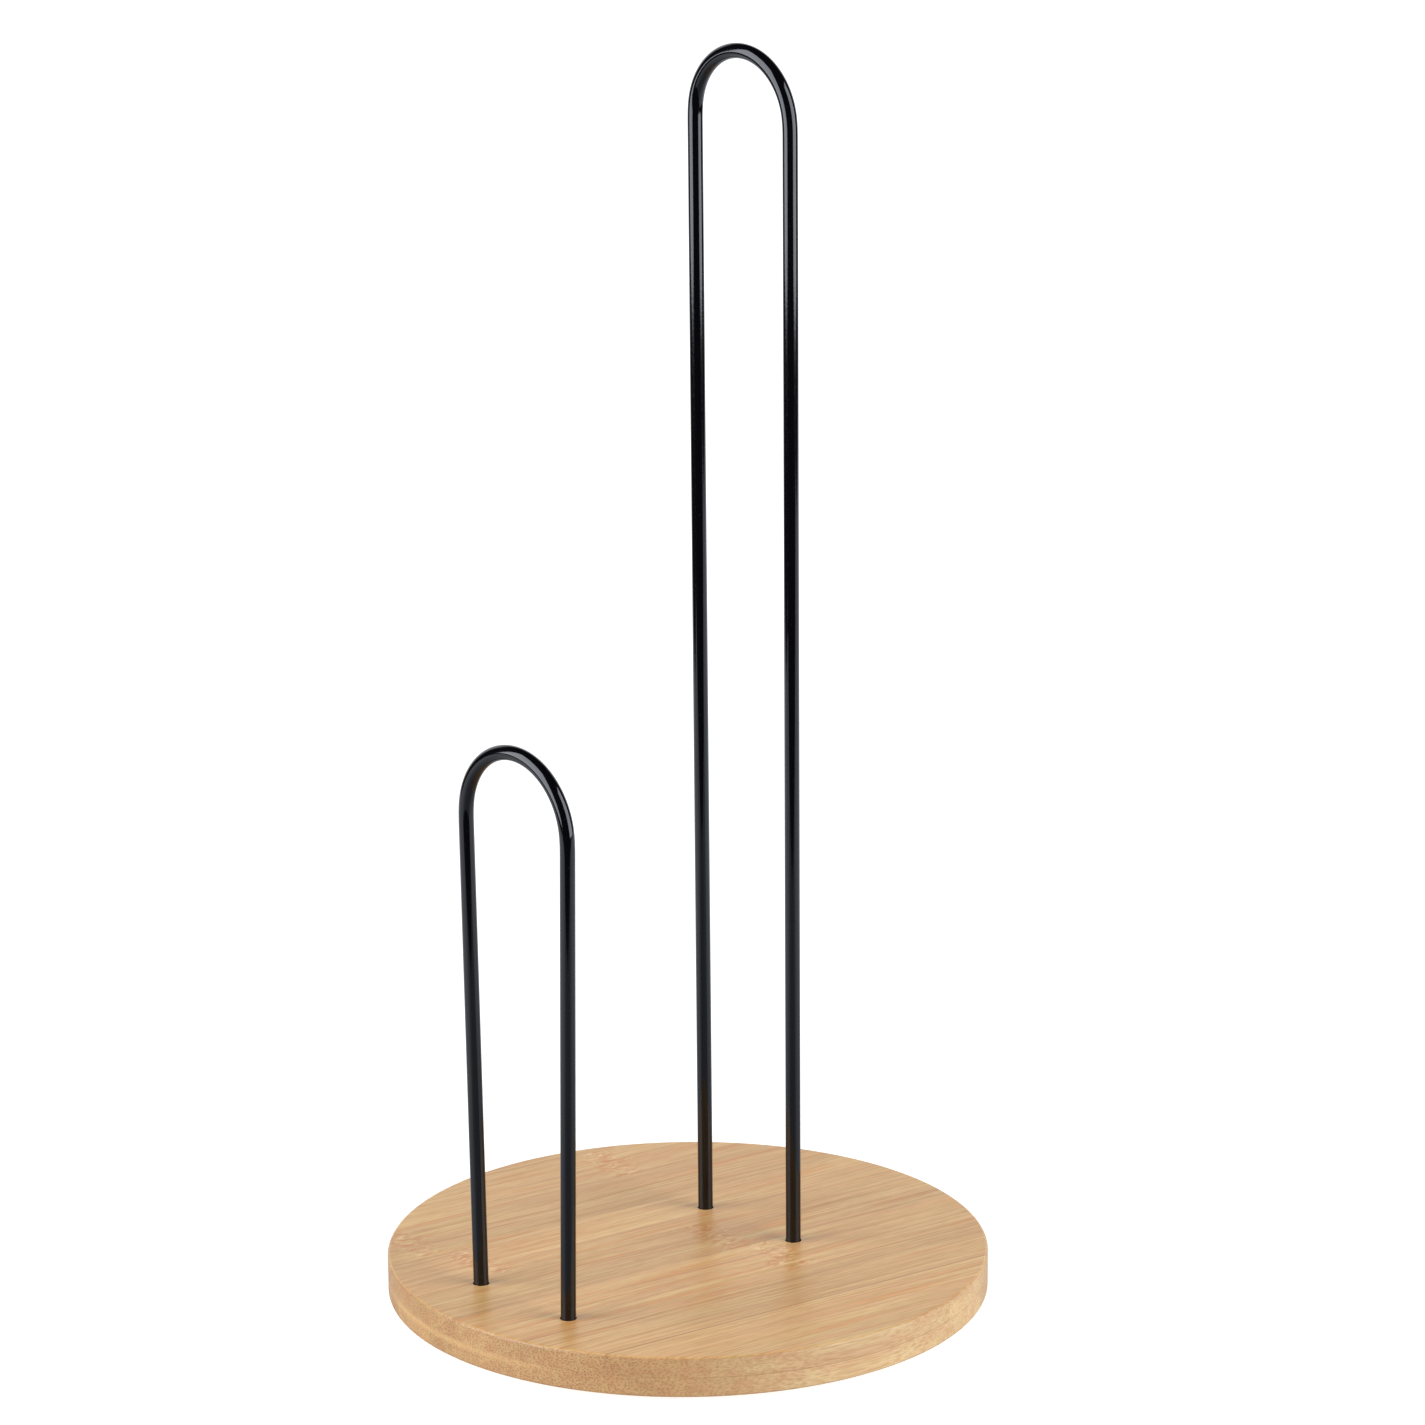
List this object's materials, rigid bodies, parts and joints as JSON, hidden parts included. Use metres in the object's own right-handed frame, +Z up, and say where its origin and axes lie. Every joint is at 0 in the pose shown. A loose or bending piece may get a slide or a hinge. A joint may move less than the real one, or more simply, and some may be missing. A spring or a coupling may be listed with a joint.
{
  "type": "paper towel holder",
  "caption": "Countertop paper towel holder: round laminated bamboo base with a tall bent-wire hoop for the roll and a short bent-wire hoop beside it.",
  "frame": {"origin": "centre of the plane the holder stands on, below the middle of the round base", "axes": "+Z up; +Y from the short hoop at the front to the tall hoop behind it; +X to the right seen from the front"},
  "size_m": [0.16, 0.16, 0.3329],
  "materials": {
    "bamboo_upper": "laminated bamboo, satin lacquer, fine grain across the board",
    "bamboo_lower": "laminated bamboo, satin lacquer, speckled end grain on the rim",
    "black_enamel": "gloss black enamel on steel wire",
    "zinc_steel": "bright zinc plate",
    "pad_rubber": "matt black non-slip rubber"
  },
  "bodies": {
    "root": {"upper_stave_1": "bamboo_upper", "upper_stave_2": "bamboo_upper", "upper_stave_3": "bamboo_upper", "upper_stave_4": "bamboo_upper", "upper_stave_5": "bamboo_upper", "upper_stave_6": "bamboo_upper", "upper_stave_7": "bamboo_upper", "upper_stave_8": "bamboo_upper", "upper_stave_9": "bamboo_upper", "lower_stave_1": "bamboo_lower", "lower_stave_2": "bamboo_lower", "lower_stave_3": "bamboo_lower", "lower_stave_4": "bamboo_lower", "lower_stave_5": "bamboo_lower", "lower_stave_6": "bamboo_lower", "lower_stave_7": "bamboo_lower", "lower_stave_8": "bamboo_lower", "tall_hoop": "black_enamel", "short_hoop": "black_enamel", "washer_tall_left": "zinc_steel", "washer_tall_right": "zinc_steel", "washer_short_left": "zinc_steel", "washer_short_right": "zinc_steel", "nut_tall_left": "zinc_steel", "nut_tall_right": "zinc_steel", "nut_short_left": "zinc_steel", "nut_short_right": "zinc_steel", "pad_front_left": "pad_rubber", "pad_front_right": "pad_rubber", "pad_back_left": "pad_rubber", "pad_back_right": "pad_rubber"}
  },
  "joints": []
}
